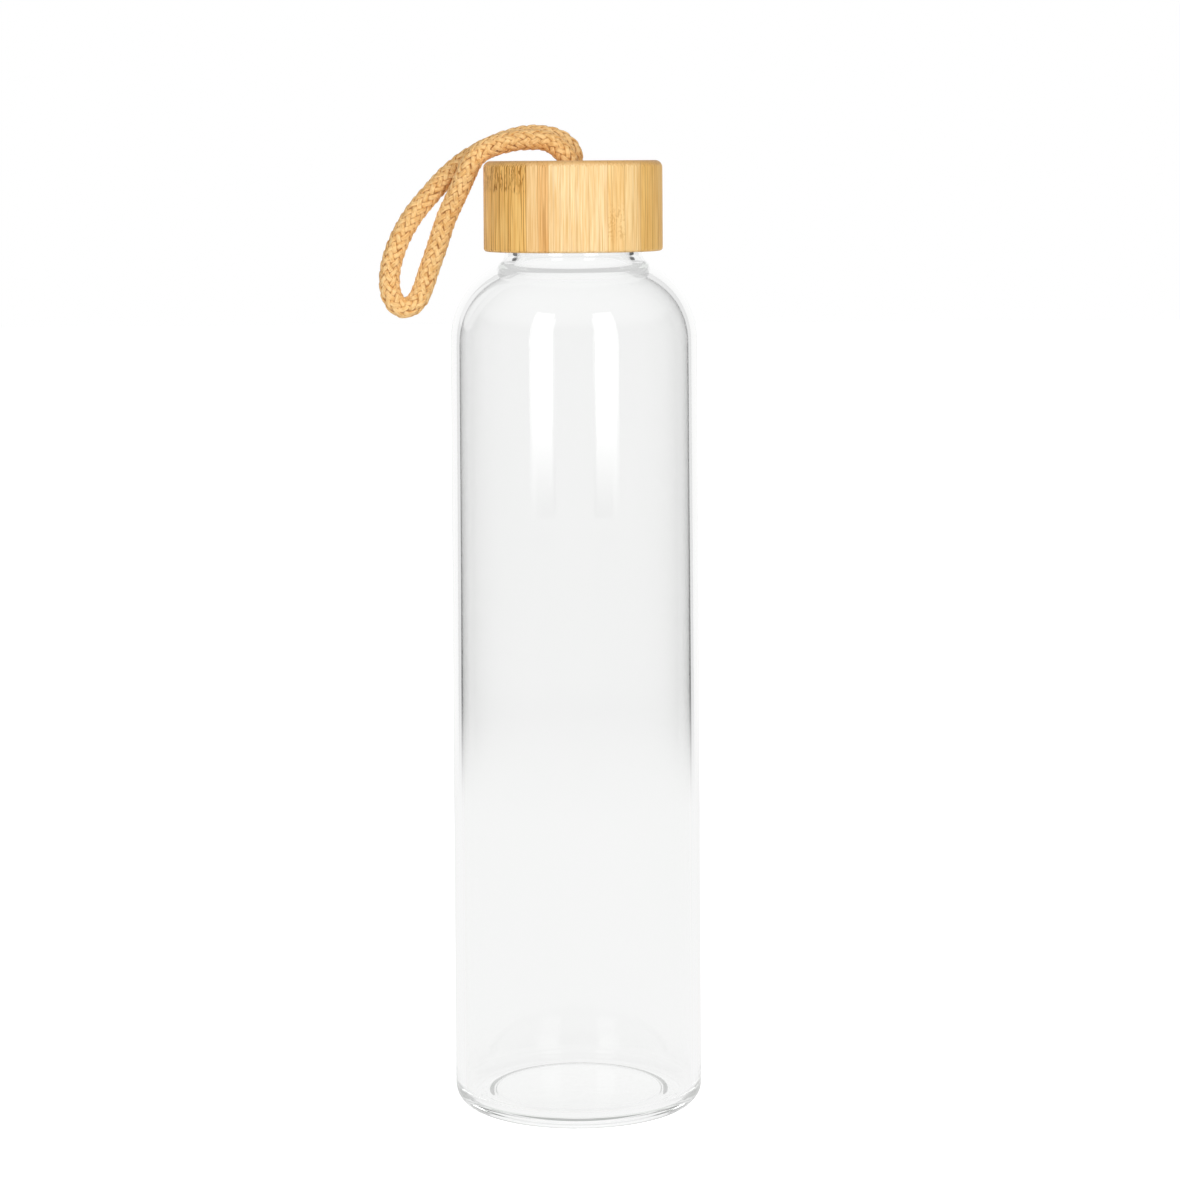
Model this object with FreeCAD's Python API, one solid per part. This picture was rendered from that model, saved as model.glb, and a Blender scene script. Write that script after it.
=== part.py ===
import FreeCAD, Part
import math
import os

os.makedirs("parts", exist_ok=True)

# Glass water bottle with a bamboo screw lid and a cord loop. Millimetres, +Z up.
# Origin: centre of the circle the bottle stands on. The cord hangs towards -X.

# Glass body
BODY_RADIUS = 30.3
WALL = 2.3
SHOULDER_RADIUS = 20.5
SHOULDER_START = 188.1
SHOULDER_EXTRA = 0.5  # the glass is this much thicker under the top of the shoulder
NECK_RADIUS = 16.9
NECK_WALL = 3.0
NECK_FILLET = 3.0
INNER_FILLET = 4.2
RIM_HEIGHT = 223.5
RIM_ROUNDING = 0.8
BASE_CORNER = 5.0
FOOT_WIDTH = 2.9
PUSH_UP = 2.4
FLOOR = 3.2

# Screw thread, one start, right hand
LEAD = 4.0
THREAD_START = 213.0
THREAD_TURNS = 2.0
THREAD_HEIGHT = 1.2
THREAD_ROOT_WIDTH = 2.2
THREAD_CREST_WIDTH = 1.0
RADIAL_CLEARANCE = 0.35
FLANK_CLEARANCE = 0.27

# Lid
LID_RADIUS = 22.0
LID_BOTTOM = 209.8
LID_TOP = 232.0
LID_TOP_THICKNESS = 4.5
LID_TOP_ROUNDING = 1.8
LID_BOTTOM_ROUNDING = 0.8
GLUE_GAP = 0.1
LINER_WALL = 1.15
LINER_PLATE = 2.0
CUP_RADIUS = 12.3
CUP_WALL = 1.2
CUP_DEPTH = 10.0
GASKET_THICKNESS = 2.0

# Cord
CORD_RADIUS = 2.6
STRAND_OFFSET = 2.75
HOLE_RADIUS = 5.5
HOLE_ROUNDING = 1.0
KNOT_RADIUS = 9.4
KNOT_HEIGHT = 7.0
STRAND_STANDS_OUT = 0.6
SWING_X = -1.8
SWING_Z = LID_TOP + 3.6

Z_AXIS = FreeCAD.Vector(0, 0, 1)
ORIGIN = FreeCAD.Vector(0, 0, 0)

neck_bore = NECK_RADIUS - NECK_WALL
thread_crest = NECK_RADIUS + THREAD_HEIGHT
liner_root = thread_crest + RADIAL_CLEARANCE
liner_radius = liner_root + LINER_WALL
liner_top = LID_TOP - LID_TOP_THICKNESS
liner_bottom = LID_BOTTOM + LID_BOTTOM_ROUNDING


def point(r, z):
    return FreeCAD.Vector(r, 0, z)


def line(start, end):
    return Part.LineSegment(start, end).toShape()


def arc(centre, radius, from_angle, to_angle):
    """Arc in the XZ plane, running from one angle to the other, in degrees."""
    def at(angle):
        a = math.radians(angle)
        return centre + FreeCAD.Vector(radius * math.cos(a), 0, radius * math.sin(a))
    return Part.Arc(at(from_angle), at((from_angle + to_angle) / 2), at(to_angle)).toShape()


def turned(edges):
    """Closed outline in the XZ plane turned about the bottle's axis."""
    face = Part.Face(Part.Wire(edges))
    return face.revolve(ORIGIN, Z_AXIS, 360)


def shoulder_to_neck(start, shoulder, neck, fillet):
    """Shoulder arc, concave fillet arc and the height where the straight neck starts."""
    centre = point(BODY_RADIUS - SHOULDER_RADIUS, start)
    across = neck + fillet - centre.x
    up = math.sqrt((shoulder + fillet) ** 2 - across ** 2)
    lean = math.degrees(math.atan2(up, across))
    fillet_centre = centre + FreeCAD.Vector(across, 0, up)
    edges = [
        arc(centre, shoulder, 0, lean),
        arc(fillet_centre, fillet, lean + 180, 180),
    ]
    return edges, fillet_centre.z


def dome(radius, low, high):
    """Edge of a shallow spherical dome, from its rim in to the axis."""
    rise = high - low
    sphere_radius = (radius ** 2 + rise ** 2) / (2 * rise)
    rim_angle = math.degrees(math.acos(radius / sphere_radius))
    return arc(point(0, high - sphere_radius), sphere_radius, rim_angle, 90)


def glass_profile():
    """Outline of the blown glass, from the axis under the base round to the axis inside."""
    inner_radius = BODY_RADIUS - WALL
    foot_outer = BODY_RADIUS - BASE_CORNER
    foot_inner = foot_outer - FOOT_WIDTH
    inner_corner = BASE_CORNER - WALL
    floor_radius = inner_radius - inner_corner
    inner_start = SHOULDER_START - SHOULDER_EXTRA
    outer, outer_top = shoulder_to_neck(SHOULDER_START, SHOULDER_RADIUS, NECK_RADIUS, NECK_FILLET)
    inner, inner_top = shoulder_to_neck(inner_start, SHOULDER_RADIUS - WALL, neck_bore, INNER_FILLET)
    rim_side = RIM_HEIGHT - RIM_ROUNDING
    rim_outer = NECK_RADIUS - RIM_ROUNDING
    rim_inner = neck_bore + RIM_ROUNDING
    outside = [
        line(point(foot_inner, 0), point(foot_outer, 0)),
        arc(point(foot_outer, BASE_CORNER), BASE_CORNER, -90, 0),
        line(point(BODY_RADIUS, BASE_CORNER), point(BODY_RADIUS, SHOULDER_START)),
    ] + outer + [line(point(NECK_RADIUS, outer_top), point(NECK_RADIUS, rim_side))]
    rim = [
        arc(point(rim_outer, rim_side), RIM_ROUNDING, 0, 90),
        line(point(rim_outer, RIM_HEIGHT), point(rim_inner, RIM_HEIGHT)),
        arc(point(rim_inner, rim_side), RIM_ROUNDING, 90, 180),
    ]
    inside = [line(point(neck_bore, rim_side), point(neck_bore, inner_top))]
    inside += list(reversed(inner))
    inside += [
        line(point(inner_radius, inner_start), point(inner_radius, FLOOR + inner_corner)),
        arc(point(floor_radius, FLOOR + inner_corner), inner_corner, 0, -90),
        dome(floor_radius, FLOOR, FLOOR + PUSH_UP),
    ]
    closing = [
        line(point(0, FLOOR + PUSH_UP), point(0, PUSH_UP)),
        dome(foot_inner, 0, PUSH_UP),
    ]
    return outside + rim + inside + closing


def thread_ridge(root, crest, start, turns, root_width, crest_width):
    """Swept ridge of a screw thread; its root is buried a little in the wall it stands on."""
    bury = 0.3 if crest > root else -0.3
    slope = (root_width - crest_width) / 2 / (crest - root)
    buried_half = root_width / 2 + slope * bury
    corners = [
        point(root - bury, start - buried_half),
        point(crest, start - crest_width / 2),
        point(crest, start + crest_width / 2),
        point(root - bury, start + buried_half),
    ]
    profile = Part.makePolygon(corners + [corners[0]])
    helix = Part.makeHelix(LEAD, LEAD * turns, min(root, crest))
    helix.translate(FreeCAD.Vector(0, 0, start))
    return Part.Wire(helix.Edges).makePipeShell([profile], True, True)


def make_glass_bottle():
    body = turned(glass_profile())
    thread = thread_ridge(
        NECK_RADIUS, thread_crest, THREAD_START, THREAD_TURNS, THREAD_ROOT_WIDTH, THREAD_CREST_WIDTH
    )
    return body.fuse(thread).removeSplitter()


def make_bamboo_lid():
    """Turned bamboo shell with a hole for the cord through the middle of its top."""
    top_centre = LID_TOP - LID_TOP_ROUNDING
    low_centre = LID_BOTTOM + LID_BOTTOM_ROUNDING
    bore = liner_radius + GLUE_GAP
    hole_centre = point(HOLE_RADIUS + HOLE_ROUNDING, LID_TOP - HOLE_ROUNDING)
    low_outer = LID_RADIUS - LID_BOTTOM_ROUNDING
    return turned([
        line(point(bore, LID_BOTTOM), point(low_outer, LID_BOTTOM)),
        arc(point(low_outer, low_centre), LID_BOTTOM_ROUNDING, -90, 0),
        line(point(LID_RADIUS, low_centre), point(LID_RADIUS, top_centre)),
        arc(point(LID_RADIUS - LID_TOP_ROUNDING, top_centre), LID_TOP_ROUNDING, 0, 90),
        line(point(LID_RADIUS - LID_TOP_ROUNDING, LID_TOP), point(hole_centre.x, LID_TOP)),
        arc(hole_centre, HOLE_ROUNDING, 90, 180),
        line(point(HOLE_RADIUS, hole_centre.z), point(HOLE_RADIUS, liner_top)),
        line(point(HOLE_RADIUS, liner_top), point(bore, liner_top)),
        line(point(bore, liner_top), point(bore, LID_BOTTOM)),
    ])


def make_threaded_liner():
    """Plastic insert: threaded skirt, top plate and the cup that holds the knot."""
    plate_bottom = liner_top - LINER_PLATE
    cup_bottom = liner_top - CUP_DEPTH
    cup_inner = CUP_RADIUS - CUP_WALL
    cup_floor = cup_bottom + CUP_WALL
    outline = [
        point(liner_root, liner_bottom),
        point(liner_radius, liner_bottom),
        point(liner_radius, liner_top),
        point(cup_inner, liner_top),
        point(cup_inner, cup_floor),
        point(0, cup_floor),
        point(0, cup_bottom),
        point(CUP_RADIUS - CUP_WALL, cup_bottom),
        point(CUP_RADIUS, cup_bottom + CUP_WALL),
        point(CUP_RADIUS, plate_bottom),
        point(liner_root, plate_bottom),
        point(liner_root, liner_bottom),
    ]
    shell = Part.Face(Part.makePolygon(outline)).revolve(ORIGIN, Z_AXIS, 360)
    ridge_width = THREAD_ROOT_WIDTH * 0.85
    crest_width = THREAD_CREST_WIDTH * 0.9
    crest = liner_root - THREAD_HEIGHT
    # Half the glass ridge and half the liner ridge side by side at mid height, plus the flank clearance.
    mid_widths = (THREAD_ROOT_WIDTH + THREAD_CREST_WIDTH + ridge_width + crest_width) / 4
    start = THREAD_START - mid_widths - FLANK_CLEARANCE
    thread = thread_ridge(liner_root, crest, start, THREAD_TURNS, ridge_width, crest_width)
    return shell.fuse(thread).removeSplitter()


def make_sealing_gasket():
    """Flat silicone ring between the glass rim and the liner's plate, around the cup."""
    ring_inner = CUP_RADIUS + 0.2
    ring = Part.makeCylinder(liner_root - RADIAL_CLEARANCE, GASKET_THICKNESS, point(0, RIM_HEIGHT))
    ring = ring.cut(Part.makeCylinder(ring_inner, GASKET_THICKNESS, point(0, RIM_HEIGHT)))
    corners = [e for e in ring.Edges if e.Curve.TypeId == "Part::GeomCircle"]
    return ring.makeFillet(0.3, corners)


def cord_tube(points, sections):
    """Round cord lofted along a smooth curve through the points."""
    curve = Part.BSplineCurve()
    curve.interpolate(points)
    rings = []
    for i in range(sections + 1):
        u = curve.LastParameter * i / sections
        side = FreeCAD.Vector(0, 1, 0)
        along = curve.tangent(u)[0]
        turn = FreeCAD.Rotation(along.cross(side), side, along, "ZXY")
        ring = Part.makeCircle(CORD_RADIUS)
        ring.Placement = FreeCAD.Placement(curve.value(u), turn)
        rings.append(Part.Wire(ring))
    return Part.makeLoft(rings, True)


# The loop's centre line as (x, share of the strand offset, z): from the swing axis over the edge
# of the lid and down, then back up and over to the swing axis.
WAY_OUT = [
    (SWING_X, 1.0, SWING_Z),
    (-4.2, 1.0, 237.3),
    (-9.7, 1.0, 238.3),
    (-19.9, 1.0, 235.7),
    (-25.3, 1.0, 232.9),
    (-30.3, 0.9, 229.0),
    (-39.7, 0.0, 218.2),
    (-45.1, 0.0, 204.2),
]
WAY_BACK = [
    (-33.7, 0.0, 210.4),
    (-28.8, -0.6, 223.0),
    (-24.5, -1.0, 232.5),
    (-19.0, -1.0, 235.8),
    (-9.8, -1.0, 236.8),
    (SWING_X, -1.0, SWING_Z),
]
LOOP_END_X = -41.4
LOOP_END_Z = 199.9
LOOP_END_RADIUS = 3.8


def make_cord_loop():
    """Cord outside the lid; its two ends are rounded about the swing axis."""
    path = list(WAY_OUT)
    for angle in (180, 240, 300, 360):
        a = math.radians(angle)
        across = LOOP_END_X + LOOP_END_RADIUS * math.cos(a)
        path.append((across, 0.0, LOOP_END_Z + LOOP_END_RADIUS * math.sin(a)))
    path += WAY_BACK
    points = [FreeCAD.Vector(x, share * STRAND_OFFSET, z) for x, share, z in path]
    tube = cord_tube(points, 52)
    end_radius = CORD_RADIUS - 0.02
    return tube.multiFuse([Part.makeSphere(end_radius, points[0]), Part.makeSphere(end_radius, points[-1])])


def make_cord_knot():
    """Knot in the liner's cup and the two strands that run up through the hole."""
    top = point(0, liner_top - 0.6)
    bottom = top - point(0, KNOT_HEIGHT)
    shoulder = point(KNOT_RADIUS - KNOT_HEIGHT / 2, 0)
    bulge = Part.Arc(bottom + shoulder, point(KNOT_RADIUS, bottom.z + KNOT_HEIGHT / 2), top + shoulder)
    knot = turned([
        line(bottom, bottom + shoulder),
        bulge.toShape(),
        line(top + shoulder, top),
        line(top, bottom),
    ])
    length = LID_TOP + STRAND_STANDS_OUT - bottom.z - 2
    strands = []
    for side in (-STRAND_OFFSET, STRAND_OFFSET):
        foot = bottom + FreeCAD.Vector(0, side, 2)
        strands.append(Part.makeCylinder(CORD_RADIUS, length, foot))
    return knot.multiFuse(strands)


nodes = {
    "glass_bottle": make_glass_bottle(),
    "sealing_gasket": make_sealing_gasket(),
    "threaded_liner": make_threaded_liner(),
    "bamboo_lid": make_bamboo_lid(),
    "cord_knot": make_cord_knot(),
    "cord_loop": make_cord_loop(),
}

for name, shape in nodes.items():
    if len(shape.Solids) != 1 or not shape.isValid():
        raise RuntimeError(f"{name} is not one valid solid: {len(shape.Solids)} solids")
    shape.Solids[0].exportStep(f"parts/{name}.step")
    print(name, "volume", round(shape.Volume / 1000, 3), "cm3")
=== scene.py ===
import math

import bpy
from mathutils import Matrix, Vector
from mathutils.geometry import interpolate_bezier
from mathutils.noise import noise


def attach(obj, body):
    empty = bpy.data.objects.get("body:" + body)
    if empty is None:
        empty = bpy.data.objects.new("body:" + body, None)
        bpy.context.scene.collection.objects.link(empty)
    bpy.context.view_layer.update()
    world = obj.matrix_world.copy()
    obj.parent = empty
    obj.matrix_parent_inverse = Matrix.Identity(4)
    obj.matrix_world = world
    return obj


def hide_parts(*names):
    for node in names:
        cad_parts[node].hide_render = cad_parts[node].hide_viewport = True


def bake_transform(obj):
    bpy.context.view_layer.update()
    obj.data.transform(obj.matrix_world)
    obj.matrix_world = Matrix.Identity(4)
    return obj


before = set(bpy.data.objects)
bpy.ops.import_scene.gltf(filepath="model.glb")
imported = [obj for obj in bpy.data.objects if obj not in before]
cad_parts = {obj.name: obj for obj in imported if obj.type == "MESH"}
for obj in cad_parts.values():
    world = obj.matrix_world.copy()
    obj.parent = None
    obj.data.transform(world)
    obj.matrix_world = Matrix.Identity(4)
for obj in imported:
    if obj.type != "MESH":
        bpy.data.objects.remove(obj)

# Glass water bottle with a bamboo screw lid and a braided cord loop.
# Sizes are in millimetres until a mesh is made; MM turns them into metres.
MM = 0.001
TURN = 2 * math.pi
SEGMENTS = 192  # round every turned piece
SHARP_ANGLE = 38  # an edge that bends by more degrees than this is shaded as an edge
ON_WALL = 0.01  # a point this near to a wall's radius lies on that wall
SAME_POINT = 1e-4  # points nearer together than this are one

# Glass body
BODY_RADIUS = 30.3
WALL = 2.3
SHOULDER_RADIUS = 20.5
SHOULDER_START = 188.1
SHOULDER_EXTRA = 0.5  # the glass is this much thicker under the top of the shoulder
NECK_RADIUS = 16.9
NECK_WALL = 3.0
NECK_BORE = NECK_RADIUS - NECK_WALL
NECK_FILLET = 3.0
INNER_FILLET = 4.2
RIM_HEIGHT = 223.5
RIM_ROUNDING = 0.8
BASE_CORNER = 5.0
FOOT_OUTER = BODY_RADIUS - BASE_CORNER
FOOT_WIDTH = 3.0
FOOT_INNER = FOOT_OUTER - FOOT_WIDTH
PUSH_UP = 2.4
SLOPE_WIDTH = 2.8  # the sloped band between the foot ring and the dome of the push-up
SLOPE_RISE = 0.6 * PUSH_UP
FLOOR = 3.2

# Screw thread
LEAD = 4.0
THREAD_START = 213.0
THREAD_TURNS = 2.0
THREAD_HEIGHT = 1.2
THREAD_ROOT_WIDTH = 2.2
THREAD_CREST_WIDTH = 1.0
THREAD_FADE = 8  # the ridge fades in and out over one part in this many of a turn
LINER_THREAD_DROP = 1.76
LINER_ROOT_WIDTH = 0.85 * THREAD_ROOT_WIDTH
LINER_CREST_WIDTH = 0.9 * THREAD_CREST_WIDTH

# Lid
LID_RADIUS = 22.0
LID_BOTTOM = 209.8
LID_TOP = 232.0
LID_TOP_THICKNESS = 4.5
LID_TOP_ROUNDING = 1.8
LID_BOTTOM_ROUNDING = 0.8
CEILING = LID_TOP - LID_TOP_THICKNESS
BORE_RADIUS = 19.7
HOLE_RADIUS = 5.5
HOLE_ROUNDING = 1.0

# Liner, with a cup in its plate, and the gasket under the plate
GLUE_GAP = 0.1
RADIAL_CLEARANCE = 0.35
LINER_RADIUS = BORE_RADIUS - GLUE_GAP
LINER_ROOT = NECK_RADIUS + THREAD_HEIGHT + RADIAL_CLEARANCE
LINER_BOTTOM = 210.6
LINER_LEAD_IN = 0.3
LINER_EDGE = 0.2
LINER_PLATE = 2.0
PLATE_BOTTOM = CEILING - LINER_PLATE
CUP_RADIUS = 12.3
CUP_WALL = 1.2
CUP_DEPTH = 10.0
CUP_BOTTOM = CEILING - CUP_DEPTH
GASKET_INNER = 12.5
GASKET_OUTER = 18.1
GASKET_ROUNDING = 0.3

# Cord
CORD_RADIUS = 2.65
STRAND_OFFSET = 2.75
CURVE_STEPS = 40  # between two points of the cord's centre line
KNOT_RING = 6.4
KNOT_HEIGHT = 222.0
KNOT_ANGLES = range(80, 230, 30)
STRAND_HEIGHTS = (229.0, 226.6, 224.8)  # where each strand comes down the hole to the knot

# Braid: over two yarns and under two, so the weave repeats every four crossings
YARNS_EACH_WAY = 10
BRAID_PITCH = 24.0
CROSSINGS_PER_REPEAT = 4
YARN_WIDTH = 1.34
YARN_THICKNESS = 0.95
YARN_SIDES = 8
YARN_STEP = 0.3
YARN_WEAVE = 0.33
WEAVE_STEEPNESS = 1.5
YARN_STRAY = 0.22
STRAY_SCALE = 0.4
STRAY_APART = 7
CORE_SIDES = 12
CORE_STEP = 3

# Studio light, where 1 shows as white. A pair says where a change of light starts and ends: the cosine of
# the angle from straight behind the bottle, or from straight up for the ceiling.
SWEEP_LIGHT = 1.0
SWEEP_MIDDLE = (0.84, 0.98)
SIDE_LIGHT = 0.92
SIDE_EDGE = (0.765, 0.80)
ROOM_LIGHT = 0.07
CEILING_LIGHT = 0.3
CEILING_EDGE = (0.35, 0.9)
# strength of the painted glow that stands in for a part seen by way of the glass
MIRRORED_LIGHT = 0.66

# Paper floor
PAPER_GLOW = 0.97
NEAR_LIGHT = 0.93
PAPER_REACH = 700
PAPER_NEAR = 0.55 * PAPER_REACH
FLOOR_HALF = 4000
FLOOR_GAP = 0.05

# Softboxes: two tall panels in front, left and right of the camera
SOFTBOX_LIGHT = 3.0
INNER_SOFTBOX_SHARE = 0.45
SOFTBOX_DISTANCE = 660
SOFTBOX_AZIMUTHS = (20, 41)
SOFTBOX_BOTTOM = 70
SOFTBOX_FADE_END = 150
SOFTBOX_TOP = 720

# Rays in the glass, by how many faces they have met: past INNER_FROM the softboxes look weaker, past
# DEEP_FROM nothing looks darker than DEEP_LIGHT, and past GLASS_BOUNCES the ray is let out.
INNER_FROM = 2.5
DEEP_FROM = 4.5
DEEP_LIGHT = 0.5
GLASS_BOUNCES = 8.5
RAY_BOUNCES = 24
ALL_BOUNCES = 32

# Lamps for the matt parts, in metres: name, place and watts
LAMPS = [
    ("key_lamp", (-0.8, -1.2, 0.8), 7.6),
    ("fill_lamp", (1.1, -0.9, 0.5), 7.4),
]
LAMP_SIZE = 0.9
LAMP_AIM = (0, 0, 0.2)

# Camera, level with the top of the lid, in metres
CAMERA_DISTANCE = 0.84
CAMERA_HEIGHT = LID_TOP * MM
CAMERA_LENS = 104.34
SENSOR_WIDTH = 36
CAMERA_PITCH = math.radians(-1.47)
CAMERA_ROLL = math.radians(0.38)
CAMERA_SHIFT_X = 0.01466
CAMERA_SHIFT_Y = -0.2896
SHIFT_REACH = 0.005

scene = bpy.context.scene
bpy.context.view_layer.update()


# ---------------------------------------------------------------- meshes

def new_piece(name, verts, faces, material):
    """A smoothly shaded piece from vertices in millimetres."""
    mesh = bpy.data.meshes.new(name)
    mesh.from_pydata([Vector(v) * MM for v in verts], [], faces)
    mesh.polygons.foreach_set("use_smooth", [True] * len(faces))
    mesh.set_sharp_from_angle(angle=math.radians(SHARP_ANGLE))
    mesh.materials.append(material)
    piece = bpy.data.objects.new(name, mesh)
    scene.collection.objects.link(piece)
    return piece


def arc_points(centre, radius, from_angle, to_angle, count):
    """Points on an arc in the (r, z) plane, angles in degrees."""
    points = []
    for i in range(count + 1):
        a = math.radians(from_angle + (to_angle - from_angle) * i / count)
        points.append((centre[0] + radius * math.cos(a), centre[1] + radius * math.sin(a)))
    return points


def straight(start, end, count):
    """Points from start to end, both included."""
    return [
        (start[0] + (end[0] - start[0]) * i / count, start[1] + (end[1] - start[1]) * i / count)
        for i in range(count + 1)
    ]


def without_repeats(points):
    """The points without those that lie on the one before."""
    kept = [points[0]]
    for p in points[1:]:
        if math.dist(p, kept[-1]) > SAME_POINT:
            kept.append(p)
    return kept


def turned(profile, ridge=None):
    """Vertices and faces of an (r, z) outline turned about Z. Outlines that start and end on the axis
    close there; others close on themselves. ridge(r, z, angle) moves a point outwards."""
    profile = without_repeats(profile)
    on_axis = profile[0][0] == 0
    rows = profile[1:-1] if on_axis else profile
    verts = []
    for r, z in rows:
        for i in range(SEGMENTS):
            angle = TURN * i / SEGMENTS
            out = r + (ridge(r, z, angle) if ridge else 0)
            verts.append((out * math.cos(angle), out * math.sin(angle), z))
    faces = []
    count = len(rows)
    for j in range(count - 1 if on_axis else count):
        low, high = j * SEGMENTS, (j + 1) % count * SEGMENTS
        for i in range(SEGMENTS):
            k = (i + 1) % SEGMENTS
            faces.append((low + i, low + k, high + k, high + i))
    if on_axis:
        first, last = len(verts), len(verts) + 1
        verts += [(0, 0, profile[0][1]), (0, 0, profile[-1][1])]
        end = (count - 1) * SEGMENTS
        for i in range(SEGMENTS):
            k = (i + 1) % SEGMENTS
            faces.append((first, k, i))
            faces.append((last, end + i, end + k))
    return verts, faces


def thread_height(z, angle, start, root_width, crest_width):
    """Height of the thread's ridge at a place on its wall."""
    for whole in range(math.ceil(THREAD_TURNS)):
        turns = angle / TURN + whole
        off = abs(z - start - LEAD * turns)
        if off < root_width / 2:
            flank = (root_width / 2 - off) / ((root_width - crest_width) / 2)
            fade = min(1, turns * THREAD_FADE, (THREAD_TURNS - turns) * THREAD_FADE)
            return THREAD_HEIGHT * min(1, flank) * max(0, fade)
    return 0


def shoulder_to_neck(start, shoulder, neck, fillet):
    """Points over the shoulder and round the concave fillet, ending on the straight neck."""
    centre = (BODY_RADIUS - SHOULDER_RADIUS, start)
    across = neck + fillet - centre[0]
    up = math.sqrt((shoulder + fillet) ** 2 - across ** 2)
    lean = math.degrees(math.atan2(up, across))
    points = arc_points(centre, shoulder, 0, lean, 28)
    return points + arc_points((centre[0] + across, centre[1] + up), fillet, lean + 180, 180, 12)


def dome(radius, low, high, count):
    """Points of a shallow spherical dome, from its rim in to the axis."""
    rise = high - low
    sphere = (radius ** 2 + rise ** 2) / (2 * rise)
    rim = math.degrees(math.acos(radius / sphere))
    points = arc_points((0, high - sphere), sphere, rim, 90, count)
    points[-1] = (0, high)
    return points


def underside():
    """Outline under the bottle from the axis out: dome of the push-up, then a slope to the foot ring."""
    slope_top = FOOT_INNER - SLOPE_WIDTH
    steps = 12
    points = list(reversed(dome(slope_top, SLOPE_RISE, PUSH_UP, 14)))
    for i in range(1, steps + 1):
        share = (1 - math.cos(math.pi * i / steps)) / 2
        points.append((slope_top + SLOPE_WIDTH * i / steps, SLOPE_RISE * (1 - share)))
    return points


def outer_wall():
    """Outline up the outside: base corner, tube, shoulder and neck."""
    points = arc_points((FOOT_OUTER, BASE_CORNER), BASE_CORNER, -90, 0, 24)
    points += straight((BODY_RADIUS, BASE_CORNER), (BODY_RADIUS, SHOULDER_START), 30)
    points += shoulder_to_neck(SHOULDER_START, SHOULDER_RADIUS, NECK_RADIUS, NECK_FILLET)
    neck_start = (NECK_RADIUS, points[-1][1])
    return points + straight(neck_start, (NECK_RADIUS, RIM_HEIGHT - RIM_ROUNDING), 64)


def rounded_rim():
    """Outline over the rim, from the outside of the neck to its bore."""
    height = RIM_HEIGHT - RIM_ROUNDING
    points = arc_points((NECK_RADIUS - RIM_ROUNDING, height), RIM_ROUNDING, 0, 90, 6)
    return points + arc_points((NECK_BORE + RIM_ROUNDING, height), RIM_ROUNDING, 90, 180, 6)


def inner_wall():
    """Outline down the inside: neck, shoulder, tube, corner and the domed floor."""
    radius = BODY_RADIUS - WALL
    corner = BASE_CORNER - WALL
    floor_radius = radius - corner
    start = SHOULDER_START - SHOULDER_EXTRA
    points = shoulder_to_neck(start, SHOULDER_RADIUS - WALL, NECK_BORE, INNER_FILLET)
    points.reverse()
    points += straight((radius, start), (radius, FLOOR + corner), 30)
    points += arc_points((floor_radius, FLOOR + corner), corner, 0, -90, 18)
    return points + dome(floor_radius, FLOOR, FLOOR + PUSH_UP, 16)


def make_glass_bottle(material):
    def ridge(r, z, angle):
        if abs(r - NECK_RADIUS) > ON_WALL:
            return 0
        return thread_height(z, angle, THREAD_START, THREAD_ROOT_WIDTH, THREAD_CREST_WIDTH)

    outline = underside() + outer_wall() + rounded_rim() + inner_wall()
    bottle = new_piece("bottle_glass", *turned(outline, ridge), material)
    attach(bottle, "bottle")
    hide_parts("glass_bottle")


def make_bamboo_lid(material):
    top = LID_TOP - LID_TOP_ROUNDING
    low = LID_BOTTOM + LID_BOTTOM_ROUNDING
    hole_edge = HOLE_RADIUS + HOLE_ROUNDING
    hole_side = LID_TOP - HOLE_ROUNDING
    outline = straight((BORE_RADIUS, LID_BOTTOM), (LID_RADIUS - LID_BOTTOM_ROUNDING, LID_BOTTOM), 3)
    outline += arc_points((LID_RADIUS - LID_BOTTOM_ROUNDING, low), LID_BOTTOM_ROUNDING, -90, 0, 6)
    outline += straight((LID_RADIUS, low), (LID_RADIUS, top), 12)
    outline += arc_points((LID_RADIUS - LID_TOP_ROUNDING, top), LID_TOP_ROUNDING, 0, 90, 10)
    outline += straight((LID_RADIUS - LID_TOP_ROUNDING, LID_TOP), (hole_edge, LID_TOP), 10)
    outline += arc_points((hole_edge, hole_side), HOLE_ROUNDING, 90, 180, 6)
    outline += straight((HOLE_RADIUS, hole_side), (HOLE_RADIUS, CEILING), 3)
    outline += straight((HOLE_RADIUS, CEILING), (BORE_RADIUS, CEILING), 6)
    outline += straight((BORE_RADIUS, CEILING), (BORE_RADIUS, LID_BOTTOM), 8)[:-1]
    lid = new_piece("bamboo_shell", *turned(outline), material)
    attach(lid, "lid")
    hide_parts("bamboo_lid")


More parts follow.
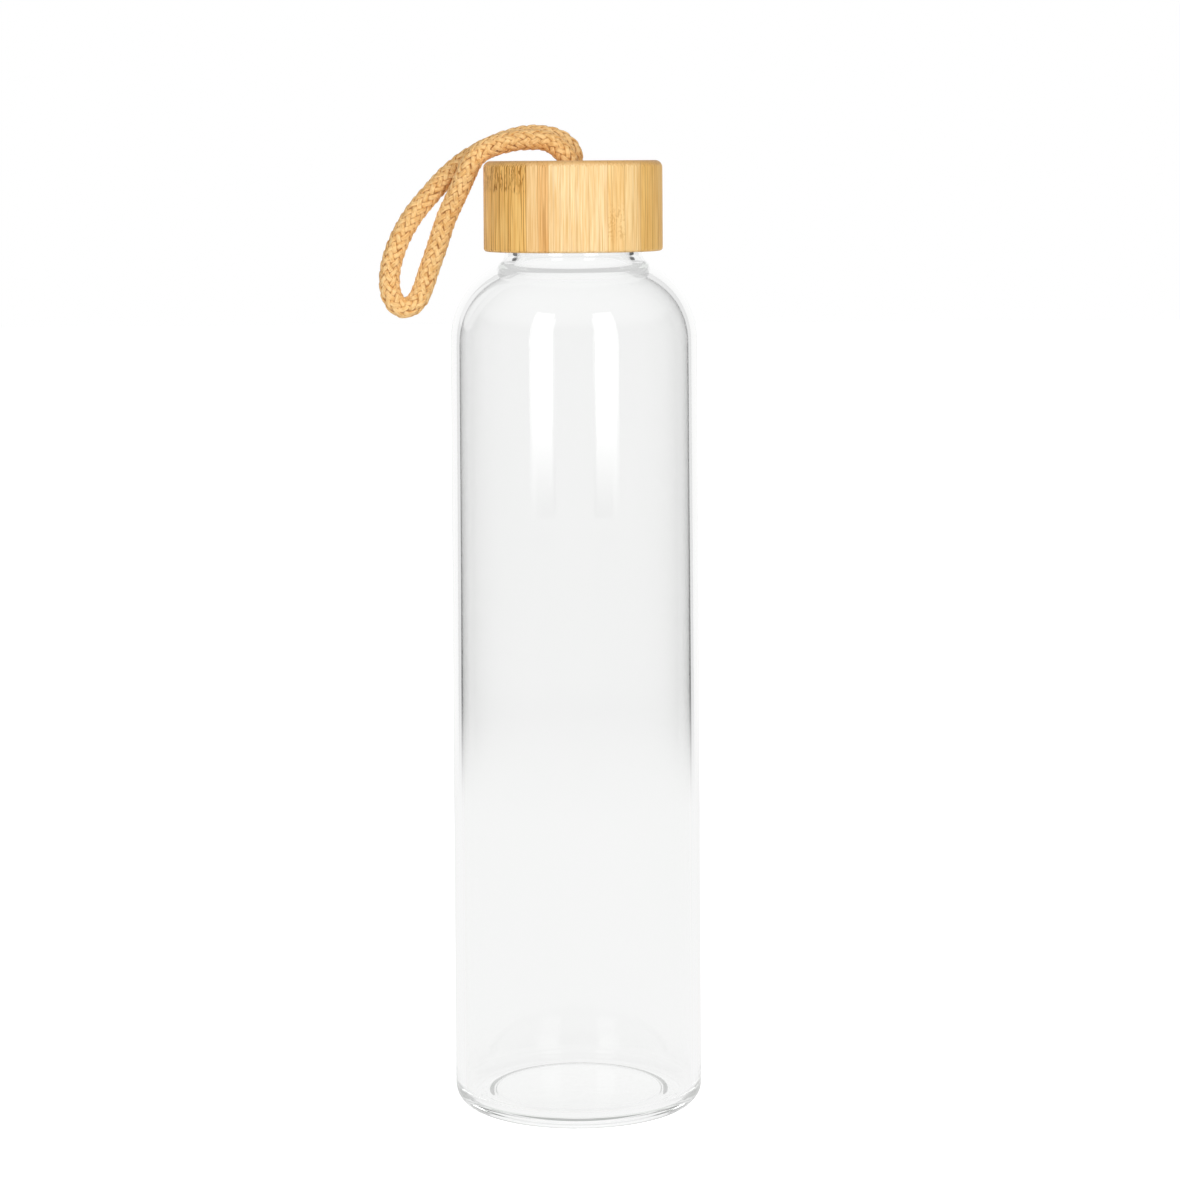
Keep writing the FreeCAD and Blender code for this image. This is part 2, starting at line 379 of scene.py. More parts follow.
def make_liner(material):
    """Threaded tube with a plate across its top and the cup for the knot in the middle of the plate."""
    cup_inner = CUP_RADIUS - CUP_WALL
    cup_floor = CUP_BOTTOM + CUP_WALL
    outline = [(0, CUP_BOTTOM)]
    outline += arc_points((cup_inner, cup_floor), CUP_WALL, -90, 0, 6)
    outline += straight((CUP_RADIUS, cup_floor), (CUP_RADIUS, PLATE_BOTTOM), 2)
    outline += straight((CUP_RADIUS, PLATE_BOTTOM), (LINER_ROOT, PLATE_BOTTOM), 2)
    outline += straight((LINER_ROOT, PLATE_BOTTOM), (LINER_ROOT, LINER_BOTTOM + LINER_LEAD_IN), 76)
    outline += [(LINER_ROOT + LINER_LEAD_IN, LINER_BOTTOM), (LINER_RADIUS - LINER_EDGE, LINER_BOTTOM)]
    outline += straight((LINER_RADIUS, LINER_BOTTOM + LINER_EDGE), (LINER_RADIUS, CEILING), 4)
    outline += straight((LINER_RADIUS, CEILING), (cup_inner, CEILING), 2)
    outline += straight((cup_inner, CEILING), (cup_inner, cup_floor), 2)
    outline += [(0, cup_floor)]

    def ridge(r, z, angle):
        if abs(r - LINER_ROOT) > ON_WALL:
            return 0
        start = THREAD_START - LINER_THREAD_DROP
        return -thread_height(z, angle, start, LINER_ROOT_WIDTH, LINER_CREST_WIDTH)

    liner = new_piece("liner", *turned(outline, ridge), material)
    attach(liner, "lid")
    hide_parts("threaded_liner")


def make_gasket(material):
    inner = GASKET_INNER + GASKET_ROUNDING
    outer = GASKET_OUTER - GASKET_ROUNDING
    low = RIM_HEIGHT + GASKET_ROUNDING
    high = PLATE_BOTTOM - GASKET_ROUNDING
    outline = []
    for quarter, corner in enumerate([(outer, low), (outer, high), (inner, high), (inner, low)]):
        outline += arc_points(corner, GASKET_ROUNDING, quarter * 90 - 90, quarter * 90, 4)
    gasket = new_piece("gasket_ring", *turned(outline), material)
    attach(gasket, "gasket")
    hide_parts("sealing_gasket")


# ---------------------------------------------------------------- braided cord

def smooth_path(points, step):
    """Evenly spaced points along a smooth curve through the given ones."""
    dense = []
    for i in range(len(points) - 1):
        before = points[max(i - 1, 0)]
        start, end = points[i], points[i + 1]
        after = points[min(i + 2, len(points) - 1)]
        span = (end - start).length / 3
        leave = start + (end - before).normalized() * span
        arrive = end - (after - start).normalized() * span
        dense += interpolate_bezier(start, leave, arrive, end, CURVE_STEPS)[:-1]
    dense.append(points[-1])
    even, since = [dense[0]], 0.0
    for a, b in zip(dense, dense[1:]):
        since += (b - a).length
        if since >= step:
            even.append(b)
            since = 0.0
    return even


def path_frames(path):
    """A side and an up direction at every point, turning as little as possible along the path."""
    frames = []
    side = Vector((0, 1, 0))
    for i in range(len(path)):
        along = (path[min(i + 1, len(path) - 1)] - path[max(i - 1, 0)]).normalized()
        side = (side - along * side.dot(along)).normalized()
        frames.append((side, along.cross(side)))
    return frames


def yarn_centres(path, frames, index, way):
    """Centre line of one yarn of the braid, its outward direction and how far up it lies, 0 to 1."""
    centres = []
    gone = 0.0
    middle = CORD_RADIUS - YARN_THICKNESS / 2 - YARN_WEAVE
    for i, (place, (side, up)) in enumerate(zip(path, frames)):
        if i:
            gone += (place - path[i - 1]).length
        angle = way * TURN * gone / BRAID_PITCH + TURN * index / YARNS_EACH_WAY
        column = angle * 2 * YARNS_EACH_WAY / TURN
        angle += YARN_STRAY * noise(place * STRAY_SCALE + Vector((0, 0, way * STRAY_APART + index)))
        lift = way * math.cos(TURN * (column - 0.5) / CROSSINGS_PER_REPEAT) * WEAVE_STEEPNESS
        lift = max(-1.0, min(1.0, lift))
        outward = side * math.cos(angle) + up * math.sin(angle)
        centres.append((place + outward * (middle + YARN_WEAVE * lift), outward, (lift + 1) / 2))
    return centres


def add_yarn(centres, verts, faces, lifts, strands):
    """Flat oval tube round a yarn's centre line, closed at both ends."""
    first = len(verts)
    for i, (place, outward, lift) in enumerate(centres):
        along = (centres[min(i + 1, len(centres) - 1)][0] - centres[max(i - 1, 0)][0]).normalized()
        across = along.cross(outward).normalized()
        for k in range(YARN_SIDES):
            a = TURN * k / YARN_SIDES
            offset = across * math.cos(a) * YARN_WIDTH / 2 + outward * math.sin(a) * YARN_THICKNESS / 2
            verts.append(place + offset)
            lifts.append(lift)
            strands.append(math.cos(a) * 0.5 + 0.5)
    for i in range(len(centres) - 1):
        for k in range(YARN_SIDES):
            n = (k + 1) % YARN_SIDES
            a, b = first + i * YARN_SIDES, first + (i + 1) * YARN_SIDES
            faces.append((a + k, b + k, b + n, a + n))
    faces.append(tuple(first + k for k in range(YARN_SIDES)))
    last = first + (len(centres) - 1) * YARN_SIDES
    faces.append(tuple(last + k for k in reversed(range(YARN_SIDES))))


def add_core(path, frames, verts, faces, lifts, strands):
    """Plain core inside the braid."""
    radius = CORD_RADIUS - YARN_THICKNESS - YARN_WEAVE
    first = len(verts)
    for place, (side, up) in zip(path[::CORE_STEP], frames[::CORE_STEP]):
        for k in range(CORE_SIDES):
            a = TURN * k / CORE_SIDES
            verts.append(place + (side * math.cos(a) + up * math.sin(a)) * radius)
            lifts.append(0.0)
            strands.append(0.5)
    rings = (len(verts) - first) // CORE_SIDES
    for i in range(rings - 1):
        for k in range(CORE_SIDES):
            n = (k + 1) % CORE_SIDES
            a, b = first + i * CORE_SIDES, first + (i + 1) * CORE_SIDES
            faces.append((a + k, a + n, b + n, b + k))


def braided_cord(name, paths, material):
    """One piece of cord along each path: twenty yarns, over two and under two, round a core."""
    verts, faces, lifts, strands = [], [], [], []
    for points in paths:
        path = smooth_path([Vector(p) for p in points], YARN_STEP)
        frames = path_frames(path)
        for way in (1, -1):
            for index in range(YARNS_EACH_WAY):
                add_yarn(yarn_centres(path, frames, index, way), verts, faces, lifts, strands)
        add_core(path, frames, verts, faces, lifts, strands)
    cord = new_piece(name, verts, faces, material)
    cord.data.attributes.new("lift", "FLOAT", "POINT").data.foreach_set("value", lifts)
    cord.data.attributes.new("strand", "FLOAT", "POINT").data.foreach_set("value", strands)
    return cord


# Centre line of the loop as (x, share of the strand offset, z), out over the edge and down, then back.
WAY_OUT = [
    (0.0, 1.0, 229.0),
    (0.0, 1.0, 232.0),
    (-0.5, 1.0, 234.6),
    (-3.8, 1.0, 237.3),
    (-9.7, 1.0, 238.3),
    (-14.8, 1.0, 237.5),
    (-19.9, 1.0, 235.6),
    (-25.3, 1.0, 232.8),
    (-30.3, 0.85, 229.0),
    (-35.3, 0.35, 223.7),
    (-39.7, 0.0, 218.2),
    (-42.9, 0.0, 212.3),
    (-44.8, 0.0, 206.6),
    (-45.2, 0.0, 201.7),
    (-44.3, 0.0, 198.1),
    (-42.0, 0.0, 196.1),
]
WAY_BACK = [
    (-39.3, 0.0, 197.0),
    (-37.6, 0.0, 199.4),
    (-35.6, 0.0, 205.0),
    (-33.7, 0.0, 210.4),
    (-31.1, -0.2, 218.1),
    (-28.8, -0.6, 223.0),
    (-26.5, -0.85, 228.0),
    (-24.4, -1.0, 232.3),
    (-22.1, -1.0, 234.5),
    (-19.0, -1.0, 235.8),
    (-14.0, -1.0, 237.0),
    (-9.8, -1.0, 237.2),
    (-6.4, -1.0, 236.9),
    (-3.6, -1.0, 235.3),
    (-1.8, -1.0, 233.3),
    (-1.0, -1.0, 231.5),
    (-0.4, -1.0, 229.0),
]


def make_cord_loop(material):
    """The cord outside the lid."""
    points = [(x, share * STRAND_OFFSET, z) for x, share, z in WAY_OUT + WAY_BACK]
    loop = braided_cord("braided_loop", [points], material)
    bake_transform(loop)
    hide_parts("cord_loop")


def make_knot(material):
    """The two strands come down the hole and turn round in the cup, half a ring each."""
    paths = []
    for half in (0, 180):
        turn = math.radians(half)
        path = [(0.0, math.cos(turn) * STRAND_OFFSET, z) for z in STRAND_HEIGHTS]
        for angle in KNOT_ANGLES:
            a = math.radians(angle) + turn
            path.append((KNOT_RING * math.cos(a), KNOT_RING * math.sin(a), KNOT_HEIGHT))
        paths.append(path)
    knot = braided_cord("knotted_ends", paths, material)
    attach(knot, "lid")
    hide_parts("cord_knot")


# ---------------------------------------------------------------- materials

class Shader:
    """A new material's node tree, with short ways to add and join nodes."""

    def __init__(self, name=None, tree=None):
        if tree is None:
            self.material = bpy.data.materials.new(name)
            self.material.use_nodes = True
            tree = self.material.node_tree
        self.tree = tree
        self.tree.nodes.clear()

    def add(self, kind, inputs=None, **settings):
        """A new node, with its settings and with values or sockets for its inputs."""
        node = self.tree.nodes.new("ShaderNode" + kind)
        for key, value in settings.items():
            setattr(node, key, value)
        for key, value in (inputs or {}).items():
            self.feed(node.inputs[key], value)
        return node

    def feed(self, socket, value):
        if isinstance(value, bpy.types.NodeSocket):
            self.tree.links.new(value, socket)
        else:
            socket.default_value = value

    def maths(self, operation, a, b=0.0):
        return self.add("Math", {0: a, 1: b}, operation=operation).outputs[0]

    def band(self, value, low, high, to_low=0.0, to_high=1.0):
        """Smooth change from to_low to to_high while value goes from low to high."""
        inputs = {
            "Value": value,
            "From Min": low,
            "From Max": high,
            "To Min": to_low,
            "To Max": to_high,
        }
        return self.add("MapRange", inputs, interpolation_type="SMOOTHSTEP").outputs[0]

    def beyond(self, count, limit, few, many):
        """One value while a whole number is below the limit, another above it."""
        return self.band(count, limit - 0.3, limit + 0.3, few, many)

    def mix(self, share, a, b, blend="MIX"):
        node = self.add("Mix", data_type="RGBA", blend_type=blend)
        self.feed(node.inputs[0], share)
        self.feed(node.inputs[6], a)
        self.feed(node.inputs[7], b)
        return node.outputs[2]

    def noise(self, vector, scale, detail=3.0, distortion=0.0):
        inputs = {"Vector": vector, "Scale": scale, "Detail": detail, "Distortion": distortion}
        return self.add("TexNoise", inputs).outputs["Fac"]

    def object_place(self, stretch=(1, 1, 1), of=None):
        """Place in the object, or in another one, in millimetres, times a stretch along each axis."""
        place = self.add("TexCoord", object=of).outputs["Object"]
        factor = tuple(s / MM for s in stretch)
        return self.add("VectorMath", {0: place, 1: factor}, operation="MULTIPLY").outputs[0]

    def bump(self, height, strength, depth):
        inputs = {"Height": height, "Strength": strength, "Distance": depth}
        return self.add("Bump", inputs).outputs[0]

    def output(self, surface):
        self.add("OutputMaterial", {"Surface": surface})
        return self.material


def srgb(red, green, blue):
    """A display colour, 0 to 255, as linear light."""
    linear = []
    for value in (red, green, blue):
        c = value / 255
        linear.append(c / 12.92 if c <= 0.04045 else ((c + 0.055) / 1.055) ** 2.4)
    return (*linear, 1.0)


MIRRORED = ("Glossy Depth",)
THROUGH_GLASS = ("Glossy Depth", "Transmission Depth")


def painted_glow_when_mirrored(s, surface, kinds=MIRRORED):
    """The surface to the eye; where it only shows by way of the glass, in one of the kinds, a painted
    glow of soft white takes its place, so the part glows in reflections though it is no lamp.
    """
    mirrored = 0.0
    for kind in kinds:
        mirrored = s.maths("ADD", mirrored, s.add("LightPath").outputs[kind])
    mirrored = s.maths("GREATER_THAN", mirrored, 0.5)
    # painted glow: an emission of soft white stands in for the part in reflections and through the glass
    white = s.add("Emission", {"Strength": MIRRORED_LIGHT}).outputs[0]
    return s.add("MixShader", {0: mirrored, 1: surface, 2: white}).outputs[0]


def glass_material():
    """Clear glass with a faint wave from blowing. Lamps shine straight through it, and a ray that has
    bounced about inside the wall for long is let out."""
    s = Shader("clear_glass")
    wave = s.noise(s.object_place((1, 1, 0.4)), 0.05, 2.0)
    normal = s.bump(wave, 0.06, 0.0004)
    tint = s.mix(wave, (0.985, 0.99, 0.985, 1), (1, 1, 1, 1))
    glass = s.add("BsdfPrincipled", {
        "Base Color": tint,
        "Roughness": 0.0,
        "IOR": 1.47,
        "Transmission Weight": 1.0,
        "Normal": normal,
    }).outputs[0]
    clear = s.add("BsdfTransparent", {"Color": (0.96, 0.97, 0.96, 1)}).outputs[0]
    path = s.add("LightPath").outputs
    let_out = s.maths("GREATER_THAN", path["Ray Depth"], GLASS_BOUNCES)
    let_out = s.maths("MAXIMUM", path["Is Shadow Ray"], let_out)
    return s.output(s.add("MixShader", {0: let_out, 1: glass, 2: clear}).outputs[0])


# Bamboo strips across the lid: where each starts in x, its colour and how strong its dark fibres are.
STRIPS = [
    (-LID_RADIUS, (252, 208, 128), 1.0),
    (-11.1, (252, 216, 158), 0.25),
    (-8.3, (244, 198, 134), 0.6),
    (-5.8, (251, 223, 173), 0.25),
    (8.5, (250, 216, 155), 0.35),
    (12.6, (252, 220, 162), 0.25),
    (16.5, (248, 207, 130), 0.5),
]
STRIP_SHIFT_BEHIND = 5.5
RING_STRIP_END = STRIPS[1][0]
EYE_STRIP = (STRIPS[4][0], STRIPS[5][0])
GLUE_LINE = (0.05, 0.17)
PALE_GRAIN = srgb(238, 218, 186)
WARM_GRAIN = srgb(236, 186, 116)
DARK_FIBRE = srgb(178, 116, 40)
RING_DASHES = srgb(158, 98, 30)
EYE_SWIRL = srgb(205, 148, 74)
GLUE = srgb(204, 150, 84)
END_GRAIN = srgb(226, 176, 112)
END_DOTS = srgb(160, 104, 48)


def share_across(x):
    """Where an x lies across the lid, 0 to 1."""
    return (x + LID_RADIUS) / (2 * LID_RADIUS)


def strip_ramp(s, across, value_of):
    """A value or colour for each strip, stepped across x."""
    ramp = s.add("ValToRGB")
    ramp.color_ramp.interpolation = "CONSTANT"
    elements = ramp.color_ramp.elements
    elements.remove(elements[1])
    for i, strip in enumerate(STRIPS):
        element = elements[0] if i == 0 else elements.new(share_across(strip[0]))
        element.position = share_across(strip[0])
        element.color = value_of(strip)
    s.feed(ramp.inputs[0], across)
    return ramp.outputs[0]


def strip_place(s, x, y):
    """Place across the strips: other strips show at the back, and their edges waver a little."""
    behind = s.maths("MULTIPLY", s.maths("GREATER_THAN", y, 0.0), STRIP_SHIFT_BEHIND)
    waver = s.maths("MULTIPLY", s.noise(s.object_place((0.3, 0.3, 0.08)), 1.0), 0.3)
    return s.maths("ADD", s.maths("ADD", x, behind), waver)


def dark_fibres(s, across):
    """Long dark streaks, as strong as each strip has them."""
    fibrous = strip_ramp(s, across, lambda strip: (strip[2],) * 3 + (1,))
    streak = s.band(s.noise(s.object_place((2.2, 2.2, 0.035)), 1.0, 3.0), 0.52, 0.62)
    return s.maths("MULTIPLY", s.maths("MULTIPLY", streak, fibrous), 0.85)


def growth_ring(s, x, z):
    """Short upright dark dashes near the top of the first strip, where the cane had a joint."""
    dashes = s.band(s.noise(s.object_place((3.4, 3.4, 0.45)), 1.0, 2.0, 0.3), 0.53, 0.60)
    ragged = s.maths("MULTIPLY", s.noise(s.object_place((0.6, 0.6, 0.1)), 1.0), 3.0)
    above = s.band(s.maths("ADD", z, ragged), 225.4, 226.6)
    below = s.band(z, 231.6, 230.6)
    on_strip = s.maths("LESS_THAN", x, RING_STRIP_END)
    ring = s.maths("MULTIPLY", dashes, s.maths("MULTIPLY", above, below))
    return s.maths("MULTIPLY", s.maths("MULTIPLY", ring, on_strip), 0.85)


def ring_eye(s, x, z):
    """Swirled eye of a second joint, half way down a narrow strip."""
    swirl = s.band(s.noise(s.object_place((1.2, 1.2, 0.6)), 1.0, 3.0, 1.5), 0.5, 0.62)
    eye = s.maths("MULTIPLY", s.band(z, 211.5, 214.5), s.band(z, 223.0, 219.0))
    eye = s.maths("MULTIPLY", eye, s.maths("GREATER_THAN", x, EYE_STRIP[0]))
    eye = s.maths("MULTIPLY", eye, s.maths("LESS_THAN", x, EYE_STRIP[1]))
    return s.maths("MULTIPLY", s.maths("MULTIPLY", swirl, eye), 0.5)


def with_glue_lines(s, colour, x):
    for start, _, _ in STRIPS[1:]:
        gap = s.maths("ABSOLUTE", s.maths("SUBTRACT", x, start))
        colour = s.mix(s.band(gap, GLUE_LINE[1], GLUE_LINE[0], 0.0, 0.55), colour, GLUE)
    return colour


def with_end_grain(s, colour):
    """End grain on the top and on the rounded edge: a dot for each cut fibre."""
    facing = s.add("SeparateXYZ", {0: s.add("TexCoord").outputs["Normal"]}).outputs[2]
    cells = s.add("TexVoronoi", {"Vector": s.object_place((1, 1, 0.02)), "Scale": 1.3})
    dots = s.band(cells.outputs["Distance"], 0.32, 0.16)
    end = s.mix(s.maths("MULTIPLY", dots, 0.5), END_GRAIN, END_DOTS)
    return s.mix(s.band(facing, 0.15, 0.9, 0.0, 0.85), colour, end)


def bamboo_material():
    """Strips of cane side by side, fine and broad grain along them, joints, glue lines and end grain."""
    s = Shader("bamboo")
    x, y, z = s.add("SeparateXYZ", {0: s.object_place()}).outputs
    x = strip_place(s, x, y)
    across = s.maths("DIVIDE", s.maths("ADD", x, LID_RADIUS), 2 * LID_RADIUS)
    fine = s.noise(s.object_place((4.0, 4.0, 0.10)), 1.0, 4.0)
    broad = s.noise(s.object_place((0.9, 0.9, 0.05)), 1.0, 2.0)
    dark = dark_fibres(s, across)

    colour = strip_ramp(s, across, lambda strip: srgb(*strip[1]))
    colour = s.mix(s.band(fine, 0.35, 0.7), colour, s.mix(1.0, colour, PALE_GRAIN, "MULTIPLY"))
    colour = s.mix(s.band(broad, 0.4, 0.7, 0.0, 0.35), colour, WARM_GRAIN)
    colour = s.mix(dark, colour, DARK_FIBRE)
    colour = s.mix(growth_ring(s, x, z), colour, RING_DASHES)
    colour = s.mix(ring_eye(s, x, z), colour, EYE_SWIRL)
    colour = with_glue_lines(s, colour, x)
    colour = with_end_grain(s, colour)

    height = s.maths("SUBTRACT", fine, s.maths("MULTIPLY", dark, 0.5))
    wood = s.add("BsdfPrincipled", {
        "Base Color": colour,
        "Roughness": s.band(fine, 0.3, 0.7, 0.42, 0.58),
        "Specular IOR Level": 0.3,
        "Normal": s.bump(height, 0.25, 0.00012),
    })
    return s.output(painted_glow_when_mirrored(s, wood.outputs[0], THROUGH_GLASS))


YARN_SHADE = srgb(228, 172, 100)
YARN_TAN = srgb(248, 206, 142)
FIBRE_LIGHT = srgb(253, 216, 156)
FIBRE_DARK = srgb(208, 150, 78)
# brown of the painted shade in the creases of the braid
PAINTED_CREASE_SHADE = srgb(166, 98, 32)


def cord_material():
    """Tan yarn with painted shade where it dips under and along the creases between yarns, fine fibres
    along each yarn.
    """
    s = Shader("cord")
    lift = s.add("Attribute", attribute_name="lift").outputs["Fac"]
    strand = s.add("Attribute", attribute_name="strand").outputs["Fac"]
    mottle = s.noise(s.object_place(), 0.8, 3.0)
    across = s.add("CombineXYZ", {0: s.maths("MULTIPLY", strand, 6.0)}).outputs[0]
    place = s.object_place((0.5, 0.5, 0.5))
    along = s.add("VectorMath", {0: place, 1: across}, operation="ADD").outputs[0]
    fibre = s.noise(along, 1.6, 3.0, 0.3)
    edge = s.maths("ABSOLUTE", s.maths("SUBTRACT", strand, 0.5))
    # painted shade: darker where a yarn dips under the crossing one and along the edges where yarns meet
    painted_crease_shade = s.maths("MAXIMUM", s.band(lift, 0.7, 0.05), s.band(edge, 0.36, 0.5))

    colour = s.mix(s.band(mottle, 0.35, 0.65), YARN_SHADE, YARN_TAN)
    colour = s.mix(s.band(fibre, 0.4, 0.65, 0.0, 0.6), colour, FIBRE_LIGHT)
    colour = s.mix(s.band(fibre, 0.45, 0.3, 0.0, 0.5), colour, FIBRE_DARK)
    colour = s.mix(s.maths("MULTIPLY", painted_crease_shade, 0.66), colour, PAINTED_CREASE_SHADE)
    yarn = s.add("BsdfPrincipled", {
        "Base Color": colour,
        "Roughness": 0.75,
        "Specular IOR Level": 0.25,
        "Sheen Weight": 0.15,
        "Normal": s.bump(fibre, 0.5, 0.00015),
    })
    return s.output(painted_glow_when_mirrored(s, yarn.outputs[0]))


def liner_material():
    """Off-white moulded plastic."""
    s = Shader("liner_plastic")
    grain = s.noise(s.object_place(), 1.5, 3.0)
    cloud = s.noise(s.object_place(), 0.15, 2.0)
    plastic = s.add("BsdfPrincipled", {
        "Base Color": s.mix(cloud, srgb(238, 237, 232), srgb(246, 246, 243)),
        "Roughness": s.band(grain, 0.3, 0.7, 0.32, 0.42),
        "Subsurface Weight": 0.15,
        "Subsurface Radius": (0.002, 0.002, 0.002),
        "Normal": s.bump(grain, 0.1, 0.00005),
    })
    return s.output(painted_glow_when_mirrored(s, plastic.outputs[0], THROUGH_GLASS))


def silicone_material():
    """Milky soft rubber."""
    s = Shader("silicone")
    grain = s.noise(s.object_place(), 2.5, 2.0)
    cloud = s.noise(s.object_place(), 0.2, 2.0)
    rubber = s.add("BsdfPrincipled", {
        "Base Color": s.mix(cloud, srgb(226, 227, 224), srgb(238, 238, 236)),
        "Roughness": s.band(grain, 0.3, 0.7, 0.45, 0.6),
        "Subsurface Weight": 0.4,
        "Subsurface Radius": (0.002, 0.002, 0.002),
        "Normal": s.bump(grain, 0.15, 0.00005),
    })
    return s.output(painted_glow_when_mirrored(s, rubber.outputs[0], THROUGH_GLASS))


# ---------------------------------------------------------------- studio

def make_rig():
    """What all lights hang from: it turns round the bottle with the camera."""
    rig = bpy.data.objects.new("light_rig", None)
    scene.collection.objects.link(rig)
    return rig


def turn_with_camera(rig, camera):
    """The rig takes its turn about Z from the camera."""
    driver = rig.driver_add("rotation_euler", 2).driver
    driver.type = "SUM"
    turn = driver.variables.new()
    turn.type = "TRANSFORMS"
    turn.targets[0].id = camera
    turn.targets[0].transform_type = "ROT_Z"
    turn.targets[0].rotation_mode = "XYZ"


def floor_material(rig):
    """White paper. The camera sees it washed out but for a faint shadow; through the glass it is
    bright near the bottle and behind it, with the dim room to the sides."""
    s = Shader("paper_floor")
    x, y, _ = s.add("SeparateXYZ", {0: s.object_place(of=rig)}).outputs
    grain = s.noise(s.object_place(), 0.02, 2.0)
    paper = s.mix(grain, (0.50, 0.50, 0.50, 1), (0.52, 0.52, 0.52, 1))
    diffuse = s.add("BsdfDiffuse", {"Color": paper}).outputs[0]
    glow = s.add("Emission", {"Strength": PAPER_GLOW}).outputs[0]
    direct = s.add("AddShader", {0: diffuse, 1: glow}).outputs[0]
    away = s.maths("SQRT", s.maths("ADD", s.maths("POWER", x, 2.0), s.maths("POWER", y, 2.0)))
    near = s.band(away, PAPER_REACH, PAPER_NEAR)
    far = sweep_light(s, s.maths("DIVIDE", y, away))
    level = s.add("Mix", {0: near, 2: far, 3: NEAR_LIGHT}, data_type="FLOAT").outputs[0]
    indirect = s.add("Emission", {"Strength": s.maths("MAXIMUM", level, deep_light(s))}).outputs[0]
    seen = s.add("LightPath").outputs["Is Camera Ray"]
    return s.output(s.add("MixShader", {0: seen, 1: indirect, 2: direct}).outputs[0])


def make_floor(rig):
    half = FLOOR_HALF
    corners = [(-half, -half, 0), (half, -half, 0), (half, half, 0), (-half, half, 0)]
    floor = new_piece("floor", corners, [(0, 1, 2, 3)], floor_material(rig))
    floor.location.z = -FLOOR_GAP * MM


def softbox_material():
    """Light that fades out towards its lower edge, and is weaker by way of the inside of the bottle."""
    s = Shader("softbox")
    z = s.add("SeparateXYZ", {0: s.object_place()}).outputs[2]
    strength = s.band(z, SOFTBOX_BOTTOM, SOFTBOX_FADE_END, 0.0, SOFTBOX_LIGHT)
    passes = s.add("LightPath").outputs["Transmission Depth"]
    strength = s.maths("MULTIPLY", strength, s.beyond(passes, INNER_FROM, 1.0, INNER_SOFTBOX_SHARE))
    return s.output(s.add("Emission", {"Strength": strength}).outputs[0])


def make_softboxes(rig):
    """The two tall panels; only seen as reflections."""
    material = softbox_material()
    for side in (-1, 1):
        edges = []
        for azimuth in SOFTBOX_AZIMUTHS:
            a = math.radians(azimuth) * side
            edges.append((SOFTBOX_DISTANCE * math.sin(a), -SOFTBOX_DISTANCE * math.cos(a)))
        corners = [(*edge, SOFTBOX_BOTTOM) for edge in edges]
        corners += [(*edge, SOFTBOX_TOP) for edge in reversed(edges)]
        panel = new_piece("softbox", corners, [(0, 1, 2, 3)], material)
        panel.visible_camera = False
        panel.visible_shadow = False
        panel.parent = rig


def make_lamp(rig, name, place, watts):
    """Soft lamp that lights the matt parts and leaves no reflection in the glass."""
    data = bpy.data.lights.new(name, "AREA")
    data.shape = "DISK"
    data.size = LAMP_SIZE
    data.energy = watts
    lamp = bpy.data.objects.new(name, data)
    lamp.location = place
    lamp.rotation_euler = (Vector(LAMP_AIM) - Vector(place)).to_track_quat("-Z", "Y").to_euler()
    lamp.visible_glossy = False
    lamp.visible_transmission = False
    lamp.visible_camera = False
    lamp.parent = rig
    scene.collection.objects.link(lamp)


def deep_light(s):
    """What a ray finds at least when it has been through many faces of the glass."""
    return s.beyond(s.add("LightPath").outputs["Ray Depth"], DEEP_FROM, 0.0, DEEP_LIGHT)


def sweep_light(s, ahead):
    """Light of the sweep by the cosine of the angle from straight behind the bottle."""
    side = s.band(ahead, *SIDE_EDGE, ROOM_LIGHT, SIDE_LIGHT)
    return s.maths("ADD", side, s.band(ahead, *SWEEP_MIDDLE, 0.0, SWEEP_LIGHT - SIDE_LIGHT))


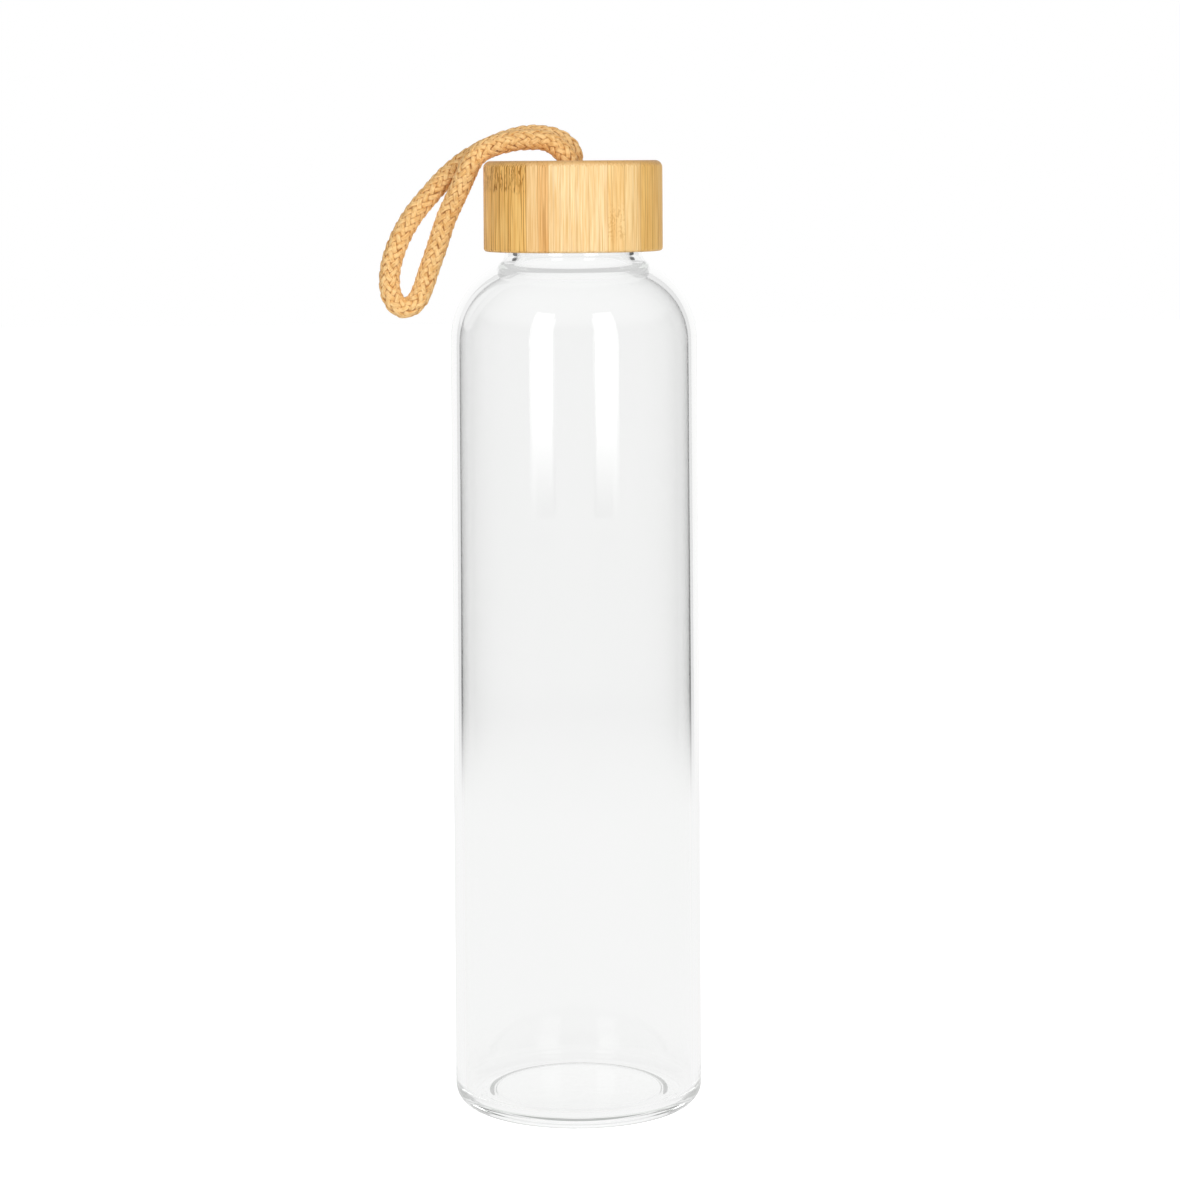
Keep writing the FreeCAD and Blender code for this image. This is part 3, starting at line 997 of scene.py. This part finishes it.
def make_world(rig):
    """White sweep behind the bottle, dim room round it; pure white straight to the camera."""
    world = bpy.data.worlds.new("studio")
    scene.world = world
    world.use_nodes = True
    s = Shader(tree=world.node_tree)
    direction = s.add("TexCoord", object=rig).outputs["Object"]
    _, ahead, up = s.add("SeparateXYZ", {0: direction}).outputs
    ceiling = s.band(up, *CEILING_EDGE, ROOM_LIGHT, CEILING_LIGHT)
    seen = s.add("LightPath").outputs["Is Camera Ray"]
    strength = sweep_light(s, ahead)
    for light in (ceiling, seen, deep_light(s)):
        strength = s.maths("MAXIMUM", strength, light)
    background = s.add("Background", {"Color": (1, 1, 1, 1), "Strength": strength})
    s.add("OutputWorld", {"Surface": background.outputs[0]})


def make_tripod():
    """Marks the camera's own place."""
    tripod = bpy.data.objects.new("tripod", None)
    tripod.location = (0, -CAMERA_DISTANCE, CAMERA_HEIGHT)
    scene.collection.objects.link(tripod)
    return tripod


def shift_at_tripod(camera, tripod, name, value):
    """Lens shift that holds at the camera's own place and falls to zero within SHIFT_REACH of it, so that
    the bottle is in the middle of the picture when the camera is moved round."""
    curve = camera.data.driver_add(name)
    curve.driver.type = "SUM"
    away = curve.driver.variables.new()
    away.type = "LOC_DIFF"
    away.targets[0].id = camera
    away.targets[1].id = tripod
    curve.modifiers[0].coefficients = (value, -value / SHIFT_REACH)
    stop_at_zero = curve.modifiers.new("LIMITS")
    stop_at_zero.use_min_y = value > 0
    stop_at_zero.use_max_y = value < 0


def make_camera():
    data = bpy.data.cameras.new("camera")
    data.lens = CAMERA_LENS
    data.sensor_width = SENSOR_WIDTH
    camera = bpy.data.objects.new("camera", data)
    camera.location = (0, -CAMERA_DISTANCE, CAMERA_HEIGHT)
    camera.rotation_euler = (math.pi / 2 + CAMERA_PITCH, CAMERA_ROLL, 0)
    scene.collection.objects.link(camera)
    scene.camera = camera
    tripod = make_tripod()
    shift_at_tripod(camera, tripod, "shift_x", CAMERA_SHIFT_X)
    shift_at_tripod(camera, tripod, "shift_y", CAMERA_SHIFT_Y)
    return camera


scene.view_settings.view_transform = "Standard"
scene.cycles.max_bounces = ALL_BOUNCES
scene.cycles.glossy_bounces = RAY_BOUNCES
scene.cycles.transmission_bounces = RAY_BOUNCES
scene.cycles.transparent_max_bounces = RAY_BOUNCES

make_glass_bottle(glass_material())
make_bamboo_lid(bamboo_material())
make_liner(liner_material())
make_gasket(silicone_material())
cord = cord_material()
make_cord_loop(cord)
make_knot(cord)

rig = make_rig()
make_world(rig)
make_floor(rig)
make_softboxes(rig)
for name, place, watts in LAMPS:
    make_lamp(rig, name, place, watts)
turn_with_camera(rig, make_camera())
